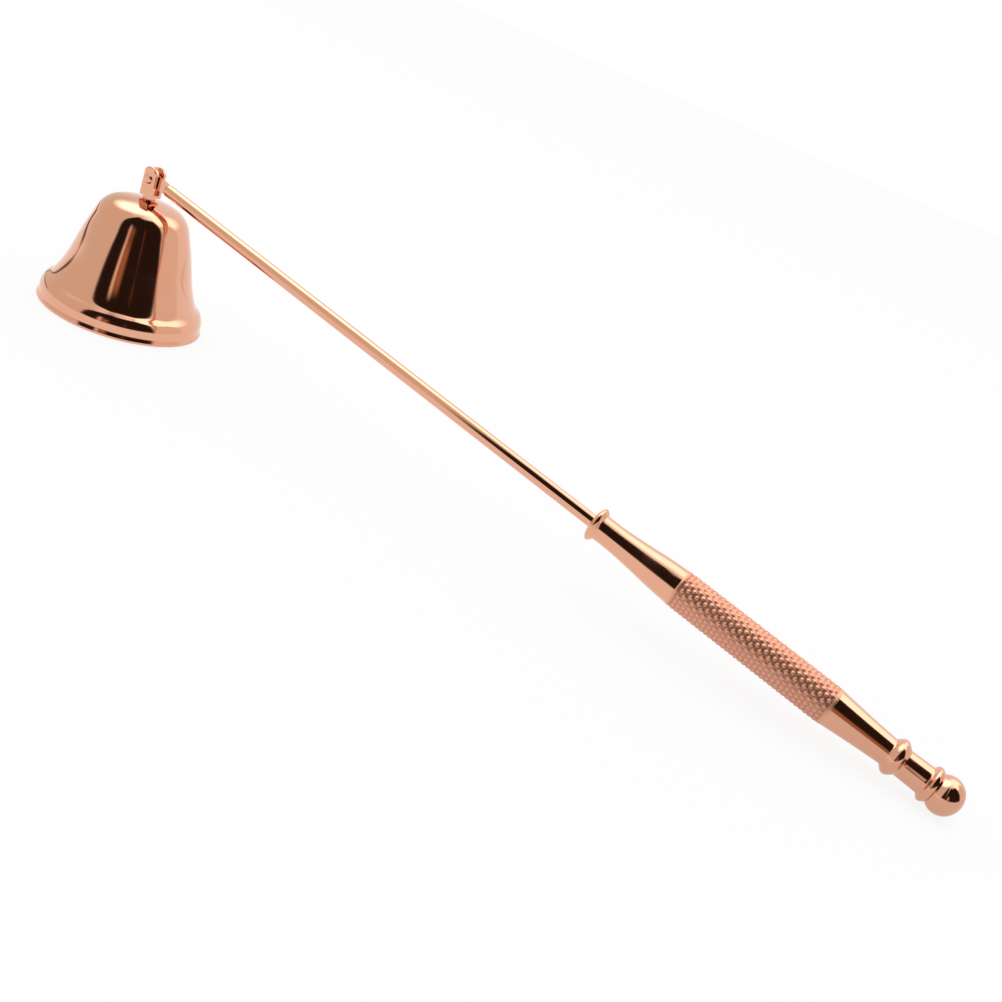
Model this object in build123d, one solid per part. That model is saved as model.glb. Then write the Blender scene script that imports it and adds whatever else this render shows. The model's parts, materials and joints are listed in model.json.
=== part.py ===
from build123d import *
import os
from math import asin, cos, degrees, hypot, pi, sin, sqrt

# Candle snuffer, in millimetres: a bell hinged to the end of a long rod with a turned handle.
# The origin is the centre of the bell's mouth, +Z is up and +X points towards the handle.
# It lies as on a table: the bell stands on its rim and the ball of the handle touches z = 0.

# Bell
foot_d = 31.2               # the body where it leaves the lip
lip_out = 2.0               # how far the lip stands out all round, which makes it 35.2 across
lip_h = 5.3                 # the lip's height, up to the foot of the body
rim_w = 0.8                 # width of the flat ring that the bell stands on
rim_round = 0.45            # rounding outside that ring
bell_h = 26.4               # rim to the flat on the crown
bell_wall = 1.0
crown_flat_d = 3.2          # flat on the crown, under the hinge post
crown_wall = 1.5            # thickness left at the faced seat inside the crown

# Lip, from its widest line up: shares of how far it stands out and of its height. A low step
# round the rim, a nearly upright wall and a rounded shoulder.
lip_curve_shares = (
    (0.965, 0.143), (0.900, 0.209), (0.850, 0.270), (0.832, 0.345), (0.800, 0.557),
    (0.735, 0.642), (0.535, 0.802), (0.440, 0.850), (0.335, 0.887), (0.175, 0.940),
)
# Body, from its foot up to the crown's flat: shares of the foot's radius and of the height.
body_curve_shares = (
    (0.986, 0.013), (0.958, 0.048), (0.894, 0.152), (0.838, 0.270), (0.775, 0.436),
    (0.708, 0.602), (0.641, 0.744), (0.580, 0.852), (0.487, 0.922), (0.321, 0.971),
)

# Hinge post: a forked block on a neck, with a threaded stem down through the crown
block_w = 3.3               # along X
ear_t = 0.85                # each ear of the fork, along Y
block_round = 0.3           # rounding of the block's corners
head_room = 2.65            # pin axis to the top of the ears
corner_drop = 0.9           # how far the ears' top falls from its middle to its ends
slot_floor_t = 0.6          # metal under the slot
tongue_gap = 1.5            # slot floor to the underside of the tongue's eye
neck_d = 2.6
neck_h = 0.7
stem_d = 2.0
stem_tip = 0.8              # thread that shows below the nut
stem_chamfer = 0.3
stem_play = 0.05            # radial, in the crown and in the washer
thread_play = 0.02          # radial, in the nut

# Nut and washer inside the bell
washer_d = 5.0
washer_t = 0.3
nut_af = 4.0                # across flats
nut_t = 1.6
nut_chamfer = 0.25

# Hinge pin
pin_d = 1.5
pin_head_d = 2.0
pin_head_h = 0.45
pin_fit = 0.01              # radial, in the ears
pin_play = 0.05             # radial, in the tongue's eye

# Rod with a flat tongue
rod_d = 2.6
tongue_w = 3.0              # across the eye
tongue_t = 0.9
side_play = 0.3             # each side of the tongue in the slot
tongue_root = 0.5           # how far the tongue runs into the round rod
shoulder_play = 0.15        # round shoulder past the block's farthest corner
shoulder_round = 0.6
rod_seat_l = 12.0           # length of the rod inside the handle
rod_chamfer = 0.3
rod_show = 119.3            # pin axis to the front of the handle

# Handle, from the front
collar_d = 6.9
collar_w = 1.7
collar_front_d = 5.6        # flat front face of the collar
neck_groove_d = 5.1         # plain neck behind the collar
neck_groove_l = 2.5
front_taper_l = 15.5
grip_d = 7.5                # across the knurled band
grip_l = 32.3
knurl_rise = 0.1            # the band stands this proud of the tapers
knurl_chamfer = 0.25
rear_taper_l = 12.0
rear_taper_d = 5.2          # small end of the rear taper
ring_a_d = 7.2
ring_a_w = 2.9
waist_l = 4.5               # plain stretch between the rings
waist_front_d = 5.2
waist_back_d = 5.4
ring_b_d = 7.0
ring_b_w = 1.9
ball_neck_d = 5.8           # crease between the last ring and the ball
ball_d = 7.25               # across the handle
ball_l = 6.3                # along the handle
bore_play = 0.02            # radial, rod in the handle
bore_spare = 0.5            # drilled depth past the rod's end

# Tapers: shares of the length and of the change in diameter, from each one's start.
front_taper_shares = ((0.22, 0.14), (0.5, 0.47), (0.78, 0.82))
rear_taper_shares = ((0.15, 0.19), (0.37, 0.43), (0.58, 0.65), (0.79, 0.83))
# Rings and collar: where the crest lies, as a share of the width.
collar_crest_share = 0.4
ring_a_crest_share = 0.47
ring_b_crest_share = 0.42
ball_steps = 8              # stretches that the ball's profile is drawn in
end_pull = (1, 1)           # how hard end tangents pull on the bell's curves, so that they stay close

overrun = 2.0               # how far every cutter runs past what it cuts

# Worked out from the sizes above
foot_r = foot_d / 2
lip_r = foot_r + lip_out
mouth_r = lip_r - rim_round - rim_w
block_base_z = bell_h + neck_h
slot_floor_z = block_base_z + slot_floor_t
pin_z = slot_floor_z + tongue_gap + tongue_w / 2
slot_w = tongue_t + 2 * side_play
block_d = slot_w + 2 * ear_t
block_top_z = pin_z + head_room
seat_z = bell_h - crown_wall
nut_top_z = seat_z - washer_t
stem_end_z = nut_top_z - nut_t - stem_tip
shoulder_reach = hypot(block_w / 2, pin_z - block_base_z) + shoulder_play
taper_top_d = grip_d - 2 * knurl_rise

# Distances along the rod's axis, from the pin
collar_back = rod_show + collar_w
taper_start = collar_back + neck_groove_l
grip_start = taper_start + front_taper_l
grip_end = grip_start + grip_l
ring_a_start = grip_end + rear_taper_l
waist_start = ring_a_start + ring_a_w
ring_b_start = waist_start + waist_l
ball_crease = ring_b_start + ring_b_w
ball_at = ball_crease + ball_l / 2 * sqrt(1 - (ball_neck_d / ball_d) ** 2)


def rest_slope():
    """Sine of the rod's slope at which the ball, a flattened sphere, just touches z = 0."""
    ball_a, ball_b = ball_d / 2, ball_l / 2
    lead = ball_at ** 2 + ball_a ** 2 - ball_b ** 2
    half = pin_z * ball_at
    return (half - sqrt(half ** 2 - lead * (pin_z ** 2 - ball_a ** 2))) / lead


slope = asin(rest_slope())
along_rod = Vector(cos(slope), 0, -sin(slope))
across_rod = Vector(sin(slope), 0, cos(slope))
# In this frame +Z runs from the pin along the rod, +X is up and square to it.
rod_frame = Plane(origin=(0, 0, pin_z), x_dir=across_rod, z_dir=along_rod)


def turned(outline):
    """The solid turned about Z by a closed outline of (radius, height) edges."""
    return revolve(Plane.XZ * make_face(outline), Axis.Z)


def pin_bore(radius, length):
    """A cylinder along Y, centred on the origin."""
    return Rot(90, 0, 0) * Cylinder(radius, length)


def inset(points, depth):
    """The points of an outer profile moved inwards by the wall, square to the profile."""
    moved = []
    for i, (r, z) in enumerate(points):
        r_a, z_a = points[max(i - 1, 0)]
        r_b, z_b = points[min(i + 1, len(points) - 1)]
        run = hypot(r_b - r_a, z_b - z_a)
        moved.append((r - depth * (z_b - z_a) / run, z - depth * (r_a - r_b) / run))
    return moved


def body_points():
    """The bell's outer profile from the foot of the body to the flat on the crown."""
    rise = bell_h - lip_h
    points = [(foot_r, lip_h)]
    points += [(foot_r * r, lip_h + rise * z) for r, z in body_curve_shares]
    return points + [(crown_flat_d / 2, bell_h)]


def lip_points():
    """The lip's outer profile from its widest line up to just below the foot of the body."""
    points = [(lip_r, rim_round)]
    return points + [(foot_r + lip_out * r, lip_h * z) for r, z in lip_curve_shares]


def bell():
    """Thin bell with a thick rounded lip, an even wall and a faced seat inside the crown."""
    body = body_points()
    rim_edge = (lip_r - rim_round, 0)
    onto_crown = Vector(body[-1]) - Vector(body[-2])
    outer = turned([
        Line((0, 0), rim_edge),
        RadiusArc(rim_edge, (lip_r, rim_round), -rim_round),
        Spline(lip_points() + body, tangents=[(0, 1), onto_crown], tangent_scalars=end_pull),
        Line(body[-1], (0, bell_h)),
        Line((0, bell_h), (0, 0)),
    ])
    inner = [(mouth_r, 0)] + inset(body, bell_wall)
    onto_seat = Vector(inner[-1]) - Vector(inner[-2])
    hollow = turned([
        Line((0, 0), inner[0]),
        Spline(inner, tangents=[(0, 1), onto_seat], tangent_scalars=end_pull),
        Line(inner[-1], (0, inner[-1][1])),
        Line((0, inner[-1][1]), (0, 0)),
    ])
    above_seat = Pos(0, 0, seat_z) * Cylinder(
        lip_r, bell_h, align=(Align.CENTER, Align.CENTER, Align.MIN))
    stem_hole = Cylinder(
        stem_d / 2 + stem_play, bell_h + overrun, align=(Align.CENTER, Align.CENTER, Align.MIN))
    return outer - (hollow - above_seat) - stem_hole


def forked_block():
    """The block on the neck: rounded on top, slotted for the tongue and bored for the pin."""
    half_w = block_w / 2
    corner_z = block_top_z - corner_drop
    side = [
        Line((-half_w, block_base_z), (half_w, block_base_z)),
        Line((half_w, block_base_z), (half_w, corner_z)),
        ThreePointArc((half_w, corner_z), (0, block_top_z), (-half_w, corner_z)),
        Line((-half_w, corner_z), (-half_w, block_base_z)),
    ]
    block = extrude(Plane.XZ * make_face(side), amount=block_d / 2, both=True)
    upright = block.edges().filter_by(Axis.Z)
    crown = block.edges().filter_by(GeomType.CIRCLE)
    block = fillet(upright + crown, block_round)
    slot = Pos(0, 0, slot_floor_z) * Box(
        block_w + overrun, slot_w, block_top_z,
        align=(Align.CENTER, Align.CENTER, Align.MIN))
    bore = Pos(0, 0, pin_z) * pin_bore(pin_d / 2 + pin_fit, block_d + overrun)
    return block - slot - bore


def hinge_post():
    """Forked block, neck and threaded stem, in one piece."""
    neck = Pos(0, 0, bell_h) * Cylinder(
        neck_d / 2, neck_h, align=(Align.CENTER, Align.CENTER, Align.MIN))
    stem = Pos(0, 0, stem_end_z) * Cylinder(
        stem_d / 2, bell_h - stem_end_z, align=(Align.CENTER, Align.CENTER, Align.MIN))
    stem = chamfer(stem.edges().sort_by(Axis.Z)[0], stem_chamfer)
    return forked_block() + neck + stem


def stem_washer():
    """Flat washer against the seat inside the crown."""
    ring = Circle(washer_d / 2) - Circle(stem_d / 2 + stem_play)
    return Pos(0, 0, nut_top_z) * extrude(ring, washer_t)


def stem_nut():
    """Hexagon nut on the stem, chamfered at both ends."""
    hexagon = RegularPolygon(nut_af / 2, 6, major_radius=False)
    corner_r = nut_af / sqrt(3)
    blank = Cylinder(corner_r, nut_t, align=(Align.CENTER, Align.CENTER, Align.MIN))
    blank = chamfer(blank.edges().filter_by(GeomType.CIRCLE), nut_chamfer)
    bored = extrude(hexagon - Circle(stem_d / 2 + thread_play), nut_t)
    return Pos(0, 0, nut_top_z - nut_t) * (bored & blank)


def hinge_pin():
    """Rivet through the fork and the tongue, with a low domed head at each end."""
    head_r = pin_head_d / 2
    half_l = block_d / 2
    shank = pin_bore(pin_d / 2, block_d)
    head = turned([
        Line((0, half_l), (head_r, half_l)),
        Spline((head_r, half_l), (0, half_l + pin_head_h), tangents=[(-0.2, 1), (-1, 0)]),
        Line((0, half_l + pin_head_h), (0, half_l)),
    ])
    return Pos(0, 0, pin_z) * (shank + Rot(90, 0, 0) * head + Rot(-90, 0, 0) * head)


def tongue():
    """Flat end of the rod with a round eye, in the rod's frame."""
    eye_r = tongue_w / 2
    root = shoulder_reach + tongue_root
    half_root = rod_d / 2 - shoulder_round / 2
    side = make_face(Polyline(
        (eye_r, 0), (half_root, root), (-half_root, root), (-eye_r, 0), close=True))
    flat = Circle(eye_r) + side - Circle(pin_d / 2 + pin_play)
    return extrude(Plane.XZ * flat, amount=tongue_t / 2, both=True)


def rod():
    """Long round rod with the tongue at one end; its other end sits in the handle."""
    rod_r = rod_d / 2
    rod_end = rod_show + rod_seat_l
    round_start = shoulder_reach + shoulder_round
    shaft = turned([
        Line((0, shoulder_reach), (rod_r - shoulder_round, shoulder_reach)),
        RadiusArc((rod_r - shoulder_round, shoulder_reach), (rod_r, round_start), -shoulder_round),
        Line((rod_r, round_start), (rod_r, rod_end - rod_chamfer)),
        Line((rod_r, rod_end - rod_chamfer), (rod_r - rod_chamfer, rod_end)),
        Line((rod_r - rod_chamfer, rod_end), (0, rod_end)),
        Line((0, rod_end), (0, shoulder_reach)),
    ])
    return rod_frame * (shaft + tongue())


def taper_points(start, length, first_d, last_d, shares):
    """A curved taper as (radius, distance) points, from its first diameter to its last."""
    points = [(first_d / 2, start)]
    for run, change in shares:
        points.append(((first_d + (last_d - first_d) * change) / 2, start + length * run))
    return points + [(last_d / 2, start + length)]


def bead(start, width, foot_d_a, crest_d, foot_d_b, crest_share):
    """The two edges of a rounded ring, from its front foot over the crest to its back foot."""
    crest = (crest_d / 2, start + width * crest_share)
    foot_a = (foot_d_a / 2, start)
    foot_b = (foot_d_b / 2, start + width)
    return [
        Spline(foot_a, crest, tangents=[(1, 1), (0, 1)]),
        Spline(crest, foot_b, tangents=[(0, 1), (-1, 1)]),
    ]


def ball_edge(tail):
    """The ball's profile, an ellipse, from the crease in front of it to the handle's tail."""
    ball_a, ball_b = ball_d / 2, ball_l / 2
    crease = asin((ball_crease - ball_at) / ball_b)
    step = (pi / 2 - crease) / ball_steps
    points = []
    for i in range(ball_steps):
        angle = crease + step * i
        points.append((ball_a * cos(angle), ball_at + ball_b * sin(angle)))
    leaving = (-ball_a * sin(crease), ball_b * cos(crease))
    return Spline(points + [tail], tangents=[leaving, (-1, 0)])


def handle_outline():
    """Half outline of the handle as edges of (radius, distance from the pin)."""
    front = (0, rod_show)
    collar_face = (collar_front_d / 2, rod_show)
    grip_r = grip_d / 2
    band_a = (grip_r, grip_start + knurl_chamfer)
    band_b = (grip_r, grip_end - knurl_chamfer)
    front_taper = taper_points(
        taper_start, front_taper_l, neck_groove_d, taper_top_d, front_taper_shares)
    rear_taper = taper_points(
        grip_end, rear_taper_l, taper_top_d, rear_taper_d, rear_taper_shares)
    tail = (0, ball_at + ball_l / 2)
    return (
        [Line(front, collar_face)]
        + bead(rod_show, collar_w, collar_front_d, collar_d, neck_groove_d, collar_crest_share)
        + [
            Line((neck_groove_d / 2, collar_back), front_taper[0]),
            Spline(front_taper, tangents=[(0, 1), (0.1, 1)]),
            Line(front_taper[-1], band_a),
            Line(band_a, band_b),
            Line(band_b, rear_taper[0]),
            Spline(rear_taper),
        ]
        + bead(ring_a_start, ring_a_w, rear_taper_d, ring_a_d, waist_front_d, ring_a_crest_share)
        + [Line((waist_front_d / 2, waist_start), (waist_back_d / 2, ring_b_start))]
        + bead(ring_b_start, ring_b_w, waist_back_d, ring_b_d, ball_neck_d, ring_b_crest_share)
        + [
            ball_edge(tail),
            Line(tail, front),
        ]
    )


def handle():
    """One turned piece, from the collar to the ball, with a blind bore for the rod."""
    bore_r = rod_d / 2 + bore_play
    bore = Pos(0, 0, rod_show - overrun) * Cylinder(
        bore_r, rod_seat_l + bore_spare + overrun, align=(Align.CENTER, Align.CENTER, Align.MIN))
    return rod_frame * (turned(handle_outline()) - bore)


pieces = {
    "bell": bell,
    "hinge_post": hinge_post,
    "stem_washer": stem_washer,
    "stem_nut": stem_nut,
    "hinge_pin": hinge_pin,
    "rod": rod,
    "handle": handle,
}

os.makedirs("parts", exist_ok=True)
for name, make in pieces.items():
    export_step(make(), f"parts/{name}.step")
print(f"pin axis at z {pin_z:.3f}, rod slope {degrees(slope):.3f} degrees down")
print(f"ball centre at x {ball_at * cos(slope):.3f}, z {pin_z - ball_at * sin(slope):.3f}")
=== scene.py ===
import json
import math

import bpy
import numpy as np
from mathutils import Matrix, Vector

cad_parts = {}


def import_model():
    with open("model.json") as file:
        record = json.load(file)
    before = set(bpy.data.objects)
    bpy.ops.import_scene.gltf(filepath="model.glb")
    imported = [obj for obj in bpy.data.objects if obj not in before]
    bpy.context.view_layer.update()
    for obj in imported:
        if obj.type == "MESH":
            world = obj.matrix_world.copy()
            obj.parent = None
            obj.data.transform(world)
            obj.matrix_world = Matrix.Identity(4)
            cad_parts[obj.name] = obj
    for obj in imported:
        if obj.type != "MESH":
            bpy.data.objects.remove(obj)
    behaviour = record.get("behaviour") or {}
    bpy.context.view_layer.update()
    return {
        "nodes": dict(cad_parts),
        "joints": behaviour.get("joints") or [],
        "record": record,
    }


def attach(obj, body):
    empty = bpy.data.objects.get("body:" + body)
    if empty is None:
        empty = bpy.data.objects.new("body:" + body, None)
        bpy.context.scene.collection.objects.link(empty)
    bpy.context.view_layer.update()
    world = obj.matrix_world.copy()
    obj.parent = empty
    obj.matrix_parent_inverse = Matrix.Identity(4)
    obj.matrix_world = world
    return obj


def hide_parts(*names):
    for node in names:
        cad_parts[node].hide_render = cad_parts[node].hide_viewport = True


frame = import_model()

MM = 0.001

# Bell, in millimetres
FOOT_D = 31.2               # the body where it leaves the lip
LIP_OUT = 2.0               # how far the lip stands out all round
LIP_H = 5.3                 # the lip's height, up to the foot of the body
RIM_W = 0.8                 # flat ring that the bell stands on
RIM_ROUND = 0.45
BELL_H = 26.4
BELL_WALL = 1.0
CROWN_FLAT_D = 3.2
CROWN_WALL = 1.5
STEM_HOLE_D = 2.1
# Lip, upwards: shares of how far it stands out and of its height. Step, wall and shoulder.
LIP_CURVE_SHARES = (
    (0.965, 0.143), (0.900, 0.209), (0.850, 0.270), (0.832, 0.345), (0.800, 0.557),
    (0.735, 0.642), (0.535, 0.802), (0.440, 0.850), (0.335, 0.887), (0.175, 0.940),
)
# Body, upwards: shares of the foot's radius and of the height above the lip.
BODY_CURVE_SHARES = (
    (0.986, 0.013), (0.958, 0.048), (0.894, 0.152), (0.838, 0.270), (0.775, 0.436),
    (0.708, 0.602), (0.641, 0.744), (0.580, 0.852), (0.487, 0.922), (0.321, 0.971),
)
BELL_EDGE_ROUND = 0.15      # polished rounding of the bell's edges
BELL_SIDES = 256

# Handle, in millimetres along the rod's axis from the hinge pin
ROD_SHOW = 119.3
BORE_L = 12.5
BORE_D = 2.64
COLLAR_D = 6.9
COLLAR_W = 1.7
COLLAR_FRONT_D = 5.6
NECK_D = 5.1
NECK_L = 2.5
FRONT_TAPER_L = 15.5
GRIP_D = 7.5
GRIP_L = 32.3
REAR_TAPER_L = 12.0
REAR_TAPER_D = 5.2
RING_A_D = 7.2
RING_A_W = 2.9
WAIST_L = 4.5
WAIST_FRONT_D = 5.2
WAIST_BACK_D = 5.4
RING_B_D = 7.0
RING_B_W = 1.9
BALL_NECK_D = 5.8
BALL_D = 7.25
BALL_L = 6.3
FRONT_TAPER_SHARES = ((0.22, 0.14), (0.5, 0.47), (0.78, 0.82))
REAR_TAPER_SHARES = ((0.15, 0.19), (0.37, 0.43), (0.58, 0.65), (0.79, 0.83))
COLLAR_CREST_SHARE = 0.4
RING_A_CREST_SHARE = 0.47
RING_B_CREST_SHARE = 0.42
HANDLE_EDGE_ROUND = 0.15    # polished rounding of the handle's edges and creases

# Knurl: rounded points in columns along the grip, each column half a step round from the last
KNURL_ROUND = 19            # points in each column, all round the grip
KNURL_COLUMN = 0.93         # from one column to the next
KNURL_DEPTH = 0.2
KNURL_COLUMN_SHARE = 0.28   # how much of the depth is in grooves straight round the grip
KNURL_RISE = 0.1            # how far the points stand out past the tapers
KNURL_FADE = 0.9            # length over which the band falls to the taper at each end
KNURL_RUNOUT = 0.5          # length over which the grooves end there
KNURL_MATT = 0.35           # how far the matt finish runs past the knurl
KNURL_SIDES = 12            # sides of the mesh for each point round the grip
KNURL_STEPS = 8             # steps of the mesh from one column to the next

# Directions on a profile, as (radius, distance along the axis)
AXIAL = (0, 1)
OUTWARDS = (1, 0)
RISING = (1, 1)
FALLING = (-1, 1)
ONTO_GRIP = (0.1, 1)        # the front taper still widens a little where it meets the grip

# Steps of the mesh along the profiles
CURVE_STEPS = 12            # between two points of a ring or of the bell's inside
EDGE_STEPS = 5              # across a rounded edge
SEAT_STEPS = 4
RIM_STEPS = 3
RIM_ROUND_STEPS = 6
BODY_STEPS = 10
CROWN_STEPS = 3
BORE_END_STEPS = 3
BORE_STEPS = 6
COLLAR_FACE_STEPS = 6
NECK_STEPS = 6
FRONT_TAPER_STEPS = 10
REAR_TAPER_STEPS = 8
WAIST_STEPS = 8
BALL_POINTS = 28

# Camera, from the photograph's perspective
PHOTO_PX = 1002
FOCAL_PX = 1079.0
SENSOR = 36.0
CAMERA_AT = Vector((162.305, -180.697, 86.878)) * MM
CAMERA_HEADING = 19.06
CAMERA_PITCH = -22.38
CAMERA_ROLL = 23.4
CAMERA_CLIP = 1 * MM

# Finishes, as linear colours
ROSE_GOLD = (0.775, 0.413, 0.283, 1)
ROSE_GOLD_WARM = (0.80, 0.40, 0.26, 1)
# Painted shade, darkening the plating in the knurl's grooves
ROSE_GOLD_GROOVE_SHADE = (0.55, 0.235, 0.165, 1)
STEEL = (0.58, 0.57, 0.55, 1)
WHITE = (1, 1, 1, 1)

# Plating: scales are in cells to the metre
POLISHED_ROUGHNESS = (0.06, 0.12)
KNURL_ROUGHNESS = (0.44, 0.52)
CLOUD_SCALE = 160
CLOUD_DETAIL = 3
CLOUD_RANGE = (0.35, 0.75)  # part of the cloud's own range that the roughness follows
MARK_SCALE = 900
MARK_DETAIL = 2
MARK_STRENGTH = 0.03
MARK_HEIGHT = 0.02 * MM
GROOVE_SHADE_FROM_SHARE = 0.4       # share of the knurl's depth at which the painted groove shade begins

# Brushed steel
GRAIN_SCALE = 700
GRAIN_DETAIL = 4
STEEL_ROUGHNESS = (0.18, 0.4)

# Sockets of a Mix node for colours, and the spacing of nodes in the editor
MIX_SHARE = 0
MIX_BASE = 6
MIX_OVER = 7
MIX_RESULT = 2
NODE_GRID = 300

# Floor, in metres, and world
FLOOR_HALF = 30.0
FLOOR_DROP = 0.02 * MM      # keeps the floor off the plane of the rim
FLOOR_PAINT = (0.9, 0.9, 0.9, 1)
FLOOR_ROUGHNESS = 0.9
FLOOR_WHITE_SHARE = 0.85    # the rest is the lit paint, which keeps the object's shadow
FLOOR_REFLECTION_SHADE_X = (0.135, 0.18) # stretch of X over which painted shade makes the floor's reflections dimmer
FLOOR_REFLECTION_SHADE_SHARES = (1.0, 0.8)
WORLD_LEVEL = 0.95
WORLD_WHITE_SHARE = 1.0

# Studio: soft-edged screens that only the polished metal shows, on spheres round its middle.
# Azimuth is 0 towards -Y and 90 towards +X. Each wall has its edges in degrees, the width over
# which they fade, its colour and its distance in metres.
SCREENS_FROM = Vector((90, 0, 10)) * MM
DARK = (0.022, 0.014, 0.011)
WALLS = {
    "left_wall": ((-136, -4), (-4, 72), (10, 8), (0.79, 0.78, 0.71), 3.4),
    "right_wall": ((92, 146), (-3, 54), (8, 10), (0.89, 0.85, 0.79), 3.3),
    "table_edge": ((-112, -76), (-1.85, 1.0), (7, 0.9), (0.16, 0.1, 0.06), 0.3),
    "dark_room": ((-6, 98), (0, 79), (6, 9), DARK, 3.1),
    "window": ((10, 20), (-2, 34), (4, 14), (0.85, 0.72, 0.6), 3.0),
    "lit_wood": ((15, 31), (-2, 30), (7, 14), (0.42, 0.2, 0.1), 2.9),
    "shelf": ((48, 55), (8, 36), (3, 12), (0.09, 0.04, 0.03), 2.8),
    "near_card": ((-20, 8), (0, 79), (5, 9), DARK, 0.62),
}
WALL_CELLS = 60
# Each umbrella has its centre's azimuth and elevation, its half angle, fade, colour and distance.
UMBRELLAS = {
    "left_umbrella": (-112, 60, 32, 20, (2.9, 2.85, 2.8), 3.3),
    "right_umbrella": (152, 60, 38, 22, (2.2, 2.15, 2.05), 3.7),
}
UMBRELLA_CELLS = 36
# Each softbox has its azimuth and elevation, its distance, width and height, and its level.
SOFTBOXES = {
    "top_softbox": (-60, 70, 1.5, 1.2, 0.8, 0.8),
}


# Profiles

def smooth_run(points, steps, leave=None, arrive=None):
    """Points on a smooth curve through the given ones; leave and arrive are its end directions.

    The curve is a cubic spline whose bends are continuous. An end without a direction is free.
    """
    knots = np.array(points, float)
    chords = np.diff(knots, axis=0)
    gaps = np.linalg.norm(chords, axis=1)
    last = len(knots) - 1
    system = np.zeros((last + 1, last + 1))
    right = np.zeros((last + 1, 2))
    for i in range(1, last):
        a, b = gaps[i - 1], gaps[i]
        system[i, i - 1:i + 2] = b, 2 * (a + b), a
        right[i] = 3 * (b * chords[i - 1] / a + a * chords[i] / b)
    for end, inside, chord, direction in (
            (0, 1, chords[0] / gaps[0], leave), (last, last - 1, chords[-1] / gaps[-1], arrive)):
        if direction is None:
            system[end, end] = 2
            system[end, inside] = 1
            right[end] = 3 * chord
        else:
            system[end, end] = 1
            right[end] = np.array(direction, float) / math.hypot(*direction)
    slopes = np.linalg.solve(system, right)
    run = [knots[0]]
    for i in range(last):
        for step in range(1, steps + 1):
            t = step / steps
            run.append(
                knots[i] * (1 + 2 * t) * (1 - t) ** 2
                + slopes[i] * gaps[i] * t * (1 - t) ** 2
                + knots[i + 1] * t * t * (3 - 2 * t)
                - slopes[i + 1] * gaps[i] * t * t * (1 - t)
            )
    return np.array(run)


def straight(start, end, steps):
    """Evenly spaced points from start to end."""
    shares = np.linspace(0, 1, steps + 1)[:, None]
    return np.array(start) * (1 - shares) + np.array(end) * shares


def trimmed(run, cut_start, cut_end):
    """A run of points shortened at both ends by these lengths."""
    along = np.concatenate([[0], np.cumsum(np.linalg.norm(np.diff(run, axis=0), axis=1))])
    first, last = cut_start, along[-1] - cut_end
    stations = [first] + [s for s in along if first < s < last] + [last]
    return np.stack([np.interp(stations, along, run[:, axis]) for axis in (0, 1)], axis=1)


def joined(runs, rounding):
    """Runs joined end to end, with each corner between them rounded; the two outer ends stay."""
    pieces = []
    for i, run in enumerate(runs):
        cut_start = rounding if i > 0 else 0
        cut_end = rounding if i < len(runs) - 1 else 0
        pieces.append(trimmed(run, cut_start, cut_end))
    line = [pieces[0]]
    for before, after, run in zip(pieces, pieces[1:], runs[1:]):
        a, corner, b = before[-1], run[0], after[0]
        for t in np.linspace(0, 1, EDGE_STEPS + 1)[1:-1]:
            line.append([a * (1 - t) ** 2 + 2 * corner * t * (1 - t) + b * t * t])
        line.append(after)
    return np.concatenate(line)


def inset(points, depth):
    """The points of an outer profile moved inwards by the wall, square to the profile."""
    moved = []
    for i, (r, z) in enumerate(points):
        r_a, z_a = points[max(i - 1, 0)]
        r_b, z_b = points[min(i + 1, len(points) - 1)]
        run = math.hypot(r_b - r_a, z_b - z_a)
        moved.append((r - depth * (z_b - z_a) / run, z - depth * (r_a - r_b) / run))
    return moved


def taper(start, length, first_d, last_d, shares, steps, leave=None, arrive=None):
    """A curved taper as (radius, distance) points, from its first diameter to its last."""
    points = [(first_d / 2, start)]
    for run, change in shares:
        points.append(((first_d + (last_d - first_d) * change) / 2, start + length * run))
    return smooth_run(points + [(last_d / 2, start + length)], steps, leave, arrive)


def bead(start, width, foot_a_d, crest_d, foot_b_d, crest_share):
    """A rounded ring from its front foot over the crest to its back foot."""
    crest = (crest_d / 2, start + width * crest_share)
    rise = smooth_run([(foot_a_d / 2, start), crest], CURVE_STEPS, RISING, AXIAL)
    fall = smooth_run([crest, (foot_b_d / 2, start + width)], CURVE_STEPS, AXIAL, FALLING)
    return np.concatenate([rise, fall[1:]])


def bell_line():
    """The bell's whole section, once round: seat, inside, rim, lip, body and crown."""
    foot_r = FOOT_D / 2
    lip_r = foot_r + LIP_OUT
    rise = BELL_H - LIP_H
    body = [(foot_r, LIP_H)]
    body += [(foot_r * r, LIP_H + rise * z) for r, z in BODY_CURVE_SHARES]
    body.append((CROWN_FLAT_D / 2, BELL_H))
    lip = [(lip_r, RIM_ROUND)]
    lip += [(foot_r + LIP_OUT * r, LIP_H * z) for r, z in LIP_CURVE_SHARES]
    seat_z = BELL_H - CROWN_WALL
    rim_r = lip_r - RIM_ROUND
    mouth_r = rim_r - RIM_W
    inside = smooth_run([(mouth_r, 0)] + inset(body, BELL_WALL), CURVE_STEPS, AXIAL)[::-1]
    inside = inside[inside[:, 1] < seat_z]
    seat_r = inside[0][0]
    hole_r = STEM_HOLE_D / 2
    hole = straight((hole_r, BELL_H), (hole_r, seat_z), SEAT_STEPS)
    runs = [
        straight((hole_r, seat_z), (seat_r, seat_z), SEAT_STEPS),
        np.concatenate([[(seat_r, seat_z)], inside[1:]]),
        straight((mouth_r, 0), (rim_r, 0), RIM_STEPS),
        smooth_run([(rim_r, 0), (lip_r, RIM_ROUND)], RIM_ROUND_STEPS, OUTWARDS, AXIAL),
        smooth_run(lip + body, BODY_STEPS, AXIAL),
        straight((CROWN_FLAT_D / 2, BELL_H), (hole_r, BELL_H), CROWN_STEPS),
    ]
    return np.concatenate([joined(runs, BELL_EDGE_ROUND), hole[1:-1]])


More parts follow.
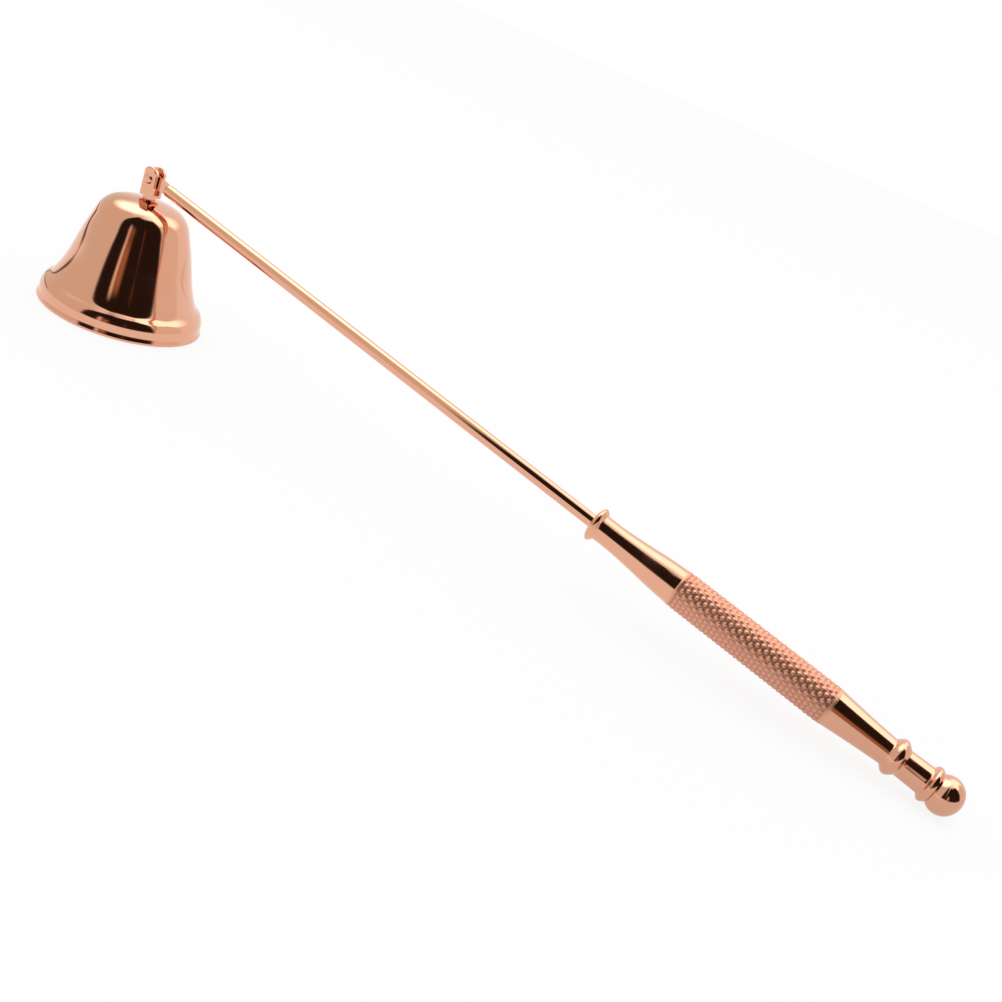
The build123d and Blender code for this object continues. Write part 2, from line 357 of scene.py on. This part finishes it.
def handle_line():
    """The handle's half section, from the bottom of its bore out and back to its tail."""
    bore_r = BORE_D / 2
    bore_end = ROD_SHOW + BORE_L
    collar_back = ROD_SHOW + COLLAR_W
    taper_start = collar_back + NECK_L
    grip_start = taper_start + FRONT_TAPER_L
    grip_end = grip_start + GRIP_L
    ring_a = grip_end + REAR_TAPER_L
    waist = ring_a + RING_A_W
    ring_b = waist + WAIST_L
    crease_at = ring_b + RING_B_W
    ball_a, ball_b = BALL_D / 2, BALL_L / 2
    crease_turn = -math.acos(BALL_NECK_D / BALL_D)
    ball_at = crease_at - ball_b * math.sin(crease_turn)
    turns = np.linspace(crease_turn, math.pi / 2, BALL_POINTS)
    ball = np.stack([ball_a * np.cos(turns), ball_at + ball_b * np.sin(turns)], axis=1)
    ball[-1, 0] = 0
    taper_top_d = GRIP_D - 2 * KNURL_RISE
    columns = round(GRIP_L / KNURL_COLUMN)
    runs = [
        straight((0, bore_end), (bore_r, bore_end), BORE_END_STEPS),
        straight((bore_r, bore_end), (bore_r, ROD_SHOW), BORE_STEPS),
        straight((bore_r, ROD_SHOW), (COLLAR_FRONT_D / 2, ROD_SHOW), COLLAR_FACE_STEPS),
        bead(ROD_SHOW, COLLAR_W, COLLAR_FRONT_D, COLLAR_D, NECK_D, COLLAR_CREST_SHARE),
        straight((NECK_D / 2, collar_back), (NECK_D / 2, taper_start), NECK_STEPS),
        taper(taper_start, FRONT_TAPER_L, NECK_D, taper_top_d, FRONT_TAPER_SHARES,
              FRONT_TAPER_STEPS, AXIAL, ONTO_GRIP),
        straight((GRIP_D / 2, grip_start), (GRIP_D / 2, grip_end), columns * KNURL_STEPS),
        taper(grip_end, REAR_TAPER_L, taper_top_d, REAR_TAPER_D, REAR_TAPER_SHARES,
              REAR_TAPER_STEPS),
        bead(ring_a, RING_A_W, REAR_TAPER_D, RING_A_D, WAIST_FRONT_D, RING_A_CREST_SHARE),
        straight((WAIST_FRONT_D / 2, waist), (WAIST_BACK_D / 2, ring_b), WAIST_STEPS),
        bead(ring_b, RING_B_W, WAIST_BACK_D, RING_B_D, BALL_NECK_D, RING_B_CREST_SHARE),
        ball,
    ]
    return joined(runs, HANDLE_EDGE_ROUND), grip_start, grip_end


def knurled(grip_start, grip_end):
    """The function that gives the knurl's depth below the grip's full width."""
    def cut_at(along, angles):
        lengthwise = ((along - grip_start) / (2 * KNURL_COLUMN))[:, None]
        around = (angles * KNURL_ROUND / (2 * math.pi))[None, :]
        rising = np.abs(np.mod(lengthwise + around, 1) - 0.5) * 2
        falling = np.abs(np.mod(lengthwise - around, 1) - 0.5) * 2
        diamond = (1 + np.cos(math.pi * rising)) * (1 + np.cos(math.pi * falling)) / 4
        column = (1 + np.cos(4 * math.pi * lengthwise)) / 2
        bump = diamond * (1 - KNURL_COLUMN_SHARE) + column * KNURL_COLUMN_SHARE
        from_ends = np.minimum(along - grip_start, grip_end - along)
        fade = np.clip(from_ends / KNURL_FADE, 0, 1)[:, None]
        groove_fade = np.clip(from_ends / KNURL_RUNOUT, 0, 1)[:, None]
        on_band = (from_ends > 0)[:, None]
        cut = KNURL_DEPTH * (1 - bump) * groove_fade
        return on_band * (cut + KNURL_RISE * (1 - fade))
    return cut_at


# Meshes

def turned(name, line, sides, place, closed, cut_at=None):
    """A mesh turned about its axis from (radius, distance) points in millimetres.

    A closed line makes a ring, and an open one starts and ends on the axis. cut_at, where it is
    given, returns how deep the surface is cut at each point all round the axis.
    """
    angles = np.linspace(0, 2 * math.pi, sides, endpoint=False)
    radii, along = np.array(line).T
    hoops = np.repeat(radii[:, None], sides, axis=1)
    cuts = np.zeros_like(hoops)
    if cut_at is not None:
        cuts = cut_at(along, angles)
    hoops = hoops - cuts
    points = np.stack([
        hoops * np.cos(angles),
        hoops * np.sin(angles),
        np.repeat(along[:, None], sides, axis=1),
    ], axis=2)
    rings = range(len(line)) if closed else range(1, len(line) - 1)
    vertices = [tuple(p) for i in rings for p in points[i]]
    depths = [depth for i in rings for depth in cuts[i]]
    count = len(rings)
    faces = []
    for i in range(count if closed else count - 1):
        below, above = i * sides, (i + 1) % count * sides
        for j in range(sides):
            k = (j + 1) % sides
            faces.append((below + j, below + k, above + k, above + j))
    if not closed:
        for pole, ring, turn in ((along[0], 0, 1), (along[-1], count - 1, -1)):
            vertices.append((0, 0, pole))
            depths.append(0)
            for j in range(sides):
                edge = (ring * sides + (j + 1) % sides, ring * sides + j)
                faces.append((edge + (len(vertices) - 1,))[::turn])
    mesh = bpy.data.meshes.new(name)
    mesh.from_pydata(vertices, [], faces)
    mesh.attributes.new("cut_depth", "FLOAT", "POINT").data.foreach_set("value", depths)
    mesh.transform(place @ Matrix.Scale(MM, 4))
    mesh.validate()
    mesh.polygons.foreach_set("use_smooth", [True] * len(mesh.polygons))
    piece = bpy.data.objects.new(name, mesh)
    bpy.context.scene.collection.objects.link(piece)
    return piece


def rod_frame():
    """The place of a turned profile whose axis is the rod's, measured from the hinge pin."""
    pin_at = Vector(frame["joints"][0]["pos_m"])
    grip = next(mount for mount in frame["record"]["mounts"] if mount["name"] == "grip")
    turn = Vector((0, 0, 1)).rotation_difference(Vector(grip["axis"]).normalized())
    return Matrix.Translation(pin_at) @ turn.to_matrix().to_4x4()


# Materials

def node(tree, kind, cell, **values):
    """A new shader node with its values set, at a column and row of the editor."""
    made = tree.nodes.new(kind)
    made.location = cell[0] * NODE_GRID, cell[1] * NODE_GRID
    for name, value in values.items():
        setattr(made, name, value)
    return made


def noise(tree, place, scale, detail, cell):
    """Noise that is fixed to the object."""
    made = node(tree, "ShaderNodeTexNoise", cell)
    made.inputs["Scale"].default_value = scale
    made.inputs["Detail"].default_value = detail
    tree.links.new(place.outputs["Object"], made.inputs["Vector"])
    return made.outputs["Fac"]


def mapped(tree, value, source, target, cell):
    """A value moved from the source range to the target range, and kept within it."""
    made = node(tree, "ShaderNodeMapRange", cell)
    made.inputs["From Min"].default_value = source[0]
    made.inputs["From Max"].default_value = source[1]
    made.inputs["To Min"].default_value = target[0]
    made.inputs["To Max"].default_value = target[1]
    tree.links.new(value, made.inputs["Value"])
    return made.outputs["Result"]


def metal(name):
    """A new metal material: itself, its node tree, its shader and its object coordinates."""
    material = bpy.data.materials.new(name)
    material.use_nodes = True
    tree = material.node_tree
    shader = tree.nodes["Principled BSDF"]
    shader.inputs["Metallic"].default_value = 1
    return material, tree, shader, node(tree, "ShaderNodeTexCoord", (-4, 0))


def plating(name, roughness):
    """Rose gold plating: faint cloudiness, fine polishing marks, and painted shade in the knurl's
    grooves.
    """
    material, tree, shader, place = metal(name)
    cloud = noise(tree, place, CLOUD_SCALE, CLOUD_DETAIL, (-3, 1))
    tint = node(tree, "ShaderNodeMix", (-2, 1), data_type="RGBA")
    tint.inputs[MIX_BASE].default_value = ROSE_GOLD
    tint.inputs[MIX_OVER].default_value = ROSE_GOLD_WARM
    tree.links.new(cloud, tint.inputs[MIX_SHARE])
    # Painted shade: the colour darkens in the deeper parts of the knurl's grooves.
    cut = node(tree, "ShaderNodeAttribute", (-3, 2), attribute_name="cut_depth")
    groove_shade = mapped(tree, cut.outputs["Fac"], (KNURL_DEPTH * GROOVE_SHADE_FROM_SHARE, KNURL_DEPTH),
                  (0, 1), (-2, 2))
    tone = node(tree, "ShaderNodeMix", (-1, 1), data_type="RGBA")
    tone.inputs[MIX_OVER].default_value = ROSE_GOLD_GROOVE_SHADE
    tree.links.new(groove_shade, tone.inputs[MIX_SHARE])
    tree.links.new(tint.outputs[MIX_RESULT], tone.inputs[MIX_BASE])
    tree.links.new(tone.outputs[MIX_RESULT], shader.inputs["Base Color"])

    haze = mapped(tree, cloud, CLOUD_RANGE, roughness, (-1, 0))
    tree.links.new(haze, shader.inputs["Roughness"])

    bump = node(tree, "ShaderNodeBump", (-1, -1))
    bump.inputs["Strength"].default_value = MARK_STRENGTH
    bump.inputs["Distance"].default_value = MARK_HEIGHT
    tree.links.new(noise(tree, place, MARK_SCALE, MARK_DETAIL, (-3, -1)), bump.inputs["Height"])
    tree.links.new(bump.outputs["Normal"], shader.inputs["Normal"])
    return material


def steel():
    """Bright steel with a brushed grain."""
    material, tree, shader, place = metal("bright_steel")
    shader.inputs["Base Color"].default_value = STEEL
    grain = noise(tree, place, GRAIN_SCALE, GRAIN_DETAIL, (-3, 0))
    tree.links.new(mapped(tree, grain, (0, 1), STEEL_ROUGHNESS, (-1, 0)),
                   shader.inputs["Roughness"])
    return material


def white_when_seen(tree, lit, output, level, shade=None):
    """Shows plain white to the camera and in reflections, and the lit shader to other rays.

    level is how much of what they see is plain white. shade, where it is given, is how white
    the reflections are.
    """
    rays = node(tree, "ShaderNodeLightPath", (-3, 2))
    glossy = node(tree, "ShaderNodeMath", (-2, 2), operation="MAXIMUM")
    seen = node(tree, "ShaderNodeMath", (-1, 2), operation="MAXIMUM")
    tree.links.new(rays.outputs["Is Camera Ray"], glossy.inputs[0])
    tree.links.new(rays.outputs["Is Glossy Ray"], glossy.inputs[1])
    tree.links.new(glossy.outputs[0], seen.inputs[0])
    tree.links.new(rays.outputs["Is Transmission Ray"], seen.inputs[1])
    white = node(tree, "ShaderNodeEmission", (-1, 1))
    white.inputs["Color"].default_value = WHITE
    if shade is not None:
        tone = node(tree, "ShaderNodeMath", (-2, 1), operation="MAXIMUM")
        tree.links.new(rays.outputs["Is Camera Ray"], tone.inputs[0])
        tree.links.new(shade, tone.inputs[1])
        tree.links.new(tone.outputs[0], white.inputs["Color"])
    share = node(tree, "ShaderNodeMath", (0, 2), operation="MULTIPLY")
    share.inputs[1].default_value = level
    tree.links.new(seen.outputs[0], share.inputs[0])
    mix = node(tree, "ShaderNodeMixShader", (1, 1))
    tree.links.new(share.outputs[0], mix.inputs[0])
    tree.links.new(lit.outputs[0], mix.inputs[1])
    tree.links.new(white.outputs[0], mix.inputs[2])
    tree.links.new(mix.outputs[0], output.inputs["Surface"])


# Floor, world, screens and lamps

def floor():
    """A pale floor that reads as white and keeps a soft shadow; its reflections carry painted
    shade towards +X.
    """
    mesh = bpy.data.meshes.new("floor")
    corners = [(-1, -1), (1, -1), (1, 1), (-1, 1)]
    mesh.from_pydata([(FLOOR_HALF * x, FLOOR_HALF * y, 0) for x, y in corners],
                     [], [(0, 1, 2, 3)])
    ground = bpy.data.objects.new("floor", mesh)
    ground.location.z = -FLOOR_DROP
    bpy.context.scene.collection.objects.link(ground)
    material = bpy.data.materials.new("pale_floor")
    material.use_nodes = True
    tree = material.node_tree
    paint = tree.nodes["Principled BSDF"]
    paint.inputs["Base Color"].default_value = FLOOR_PAINT
    paint.inputs["Roughness"].default_value = FLOOR_ROUGHNESS
    place = node(tree, "ShaderNodeTexCoord", (-5, 0))
    split = node(tree, "ShaderNodeSeparateXYZ", (-4, 0))
    tree.links.new(place.outputs["Object"], split.inputs[0])
    # Painted shade: towards +X the floor looks dimmer in reflections, though not to the camera.
    shade = mapped(tree, split.outputs["X"], FLOOR_REFLECTION_SHADE_X, FLOOR_REFLECTION_SHADE_SHARES, (-3, 0))
    white_when_seen(tree, paint, tree.nodes["Material Output"], FLOOR_WHITE_SHARE, shade)
    mesh.materials.append(material)


def world():
    """White surroundings, plain for the lighting and full white where they are seen."""
    sky = bpy.data.worlds.new("surroundings")
    bpy.context.scene.world = sky
    sky.use_nodes = True
    tree = sky.node_tree
    lit = tree.nodes["Background"]
    lit.inputs["Color"].default_value = WHITE
    lit.inputs["Strength"].default_value = WORLD_LEVEL
    white_when_seen(tree, lit, tree.nodes["World Output"], WORLD_WHITE_SHARE)


def fade_share(value, low, high, soft):
    """1 inside low and high, falling smoothly to 0 at them over the width soft."""
    inside = np.clip(np.minimum(value - low, high - value) / soft, 0, 1)
    return inside * inside * (3 - 2 * inside)


def way_to(azimuth, elevation):
    """The direction at this azimuth and elevation in degrees."""
    turn, tilt = math.radians(azimuth), math.radians(elevation)
    return Vector((
        math.sin(turn) * math.cos(tilt), -math.cos(turn) * math.cos(tilt), math.sin(tilt)))


def soft_screen(name, ways, fade, columns, colour, distance):
    """A screen through rows of directions, seen in reflections alone where fade is above 0."""
    faces = []
    for first in range(len(ways) - columns):
        if first % columns < columns - 1:
            faces.append((first, first + 1, first + columns + 1, first + columns))
    mesh = bpy.data.meshes.new(name)
    mesh.from_pydata([SCREENS_FROM + way * distance for way in ways], [], faces)
    mesh.attributes.new("fade", "FLOAT", "POINT").data.foreach_set("value", fade)
    material = bpy.data.materials.new(name)
    material.use_nodes = True
    tree = material.node_tree
    tree.nodes.remove(tree.nodes["Principled BSDF"])
    share = node(tree, "ShaderNodeAttribute", (-2, 1), attribute_name="fade")
    clear = node(tree, "ShaderNodeBsdfTransparent", (-2, 0))
    glow = node(tree, "ShaderNodeEmission", (-2, -1))
    glow.inputs["Color"].default_value = (*colour, 1)
    mix = node(tree, "ShaderNodeMixShader", (-1, 0))
    tree.links.new(share.outputs["Fac"], mix.inputs[0])
    tree.links.new(clear.outputs[0], mix.inputs[1])
    tree.links.new(glow.outputs[0], mix.inputs[2])
    tree.links.new(mix.outputs[0], tree.nodes["Material Output"].inputs["Surface"])
    mesh.materials.append(material)
    made = bpy.data.objects.new(name, mesh)
    bpy.context.scene.collection.objects.link(made)
    made.visible_camera = False
    made.visible_diffuse = False
    made.visible_transmission = False
    made.visible_shadow = False


def wall(name, azimuths, elevations, soft, colour, distance):
    """A screen between two azimuths and two elevations."""
    ways, fade = [], []
    for elevation in np.linspace(*elevations, WALL_CELLS):
        for azimuth in np.linspace(*azimuths, WALL_CELLS):
            ways.append(way_to(azimuth, elevation))
            fade.append(fade_share(azimuth, *azimuths, soft[0])
                        * fade_share(elevation, *elevations, soft[1]))
    soft_screen(name, ways, fade, WALL_CELLS, colour, distance)


def umbrella(name, azimuth, elevation, half_angle, soft, colour, distance):
    """A round screen about a direction."""
    centre = way_to(azimuth, elevation)
    side = centre.orthogonal().normalized()
    upward = centre.cross(side)
    ways, fade = [], []
    for away in np.linspace(0, half_angle, UMBRELLA_CELLS):
        tilt = math.radians(away)
        for turn in np.linspace(0, 2 * math.pi, UMBRELLA_CELLS):
            out = side * math.cos(turn) + upward * math.sin(turn)
            ways.append(centre * math.cos(tilt) + out * math.sin(tilt))
            fade.append(fade_share(away, -half_angle, half_angle, soft))
    soft_screen(name, ways, fade, UMBRELLA_CELLS, colour, distance)


def softbox(name, azimuth, elevation, distance, width, height, level):
    """A rectangular lamp that faces the object; level is how bright its face looks."""
    data = bpy.data.lights.new(name, "AREA")
    data.shape = "RECTANGLE"
    data.size = width
    data.size_y = height
    data.energy = level * math.pi * width * height
    way = way_to(azimuth, elevation)
    lamp = bpy.data.objects.new(name, data)
    lamp.location = SCREENS_FROM + way * distance
    lamp.rotation_euler = way.to_track_quat("Z", "Y").to_euler()
    lamp.visible_camera = False
    lamp.visible_glossy = False
    bpy.context.scene.collection.objects.link(lamp)


def camera():
    """The camera at the photograph's place and angle."""
    data = bpy.data.cameras.new("camera")
    data.sensor_width = SENSOR
    data.lens = SENSOR * FOCAL_PX / PHOTO_PX
    data.clip_start = CAMERA_CLIP
    made = bpy.data.objects.new("camera", data)
    made.matrix_world = (
        Matrix.Translation(CAMERA_AT)
        @ Matrix.Rotation(math.radians(CAMERA_HEADING), 4, "Z")
        @ Matrix.Rotation(math.radians(90 + CAMERA_PITCH), 4, "X")
        @ Matrix.Rotation(math.radians(CAMERA_ROLL), 4, "Z")
    )
    bpy.context.scene.collection.objects.link(made)
    bpy.context.scene.camera = made


# The object

plated = plating("polished_plating", POLISHED_ROUGHNESS)
knurl_plated = plating("knurled_plating", KNURL_ROUGHNESS)
bright = steel()

bell = turned("bell_shell", bell_line(), BELL_SIDES, Matrix.Identity(4), closed=True)
line, grip_start, grip_end = handle_line()
handle_sides = KNURL_ROUND * KNURL_SIDES
handle = turned("turned_handle", line, handle_sides, rod_frame(), closed=False,
                cut_at=knurled(grip_start, grip_end))
for piece, body, stands_for in ((bell, "head", "bell"), (handle, "arm", "handle")):
    piece.data.materials.append(plated)
    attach(piece, body)
    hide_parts(stands_for)

# The knurl's faces take the second material. Faces lie in hoops between two rings of the line.
handle.data.materials.append(knurl_plated)
middles = (line[1:-2, 1] + line[2:-1, 1]) / 2
hoops_on_grip = (middles > grip_start - KNURL_MATT) & (middles < grip_end + KNURL_MATT)
for face in np.flatnonzero(np.repeat(hoops_on_grip, handle_sides)):
    handle.data.polygons[face].material_index = 1

for name, material in (
        ("hinge_post", plated), ("hinge_pin", plated), ("rod", plated),
        ("stem_washer", bright), ("stem_nut", bright)):
    for slot in frame["nodes"][name].material_slots:
        slot.material = material

# The scene round it

floor()
world()
camera()
for name, values in WALLS.items():
    wall(name, *values)
for name, values in UMBRELLAS.items():
    umbrella(name, *values)
for name, values in SOFTBOXES.items():
    softbox(name, *values)
bpy.context.scene.view_settings.view_transform = "Standard"
